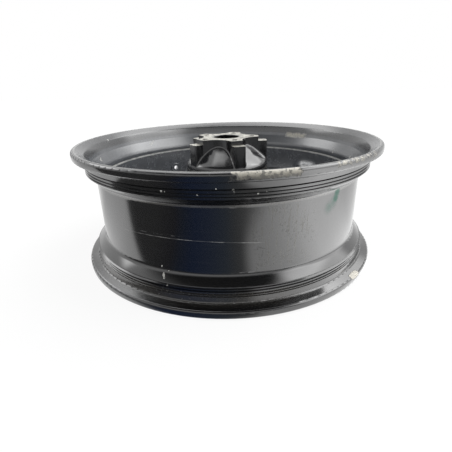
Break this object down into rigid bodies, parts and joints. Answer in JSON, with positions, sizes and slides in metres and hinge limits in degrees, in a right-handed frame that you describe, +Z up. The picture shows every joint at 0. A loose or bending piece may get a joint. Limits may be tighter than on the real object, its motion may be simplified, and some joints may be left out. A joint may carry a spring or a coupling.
{
  "type": "motorcycle wheel rim",
  "caption": "Cast light-alloy rear motorcycle wheel rim with spokes, painted black, with a bare machined brake disc face on its hub.",
  "frame": {"origin": "on the axle line, in the plane that the lower flange rests on", "axes": "+Z up the axle line, from the lower flange towards the brake disc face of the hub; -Y towards the picture's camera"},
  "size_m": [0.464, 0.4639, 0.1772],
  "materials": {
    "casting": "gloss"
  },
  "bodies": {
    "root": {"wheel_rim": "casting"}
  },
  "joints": []
}
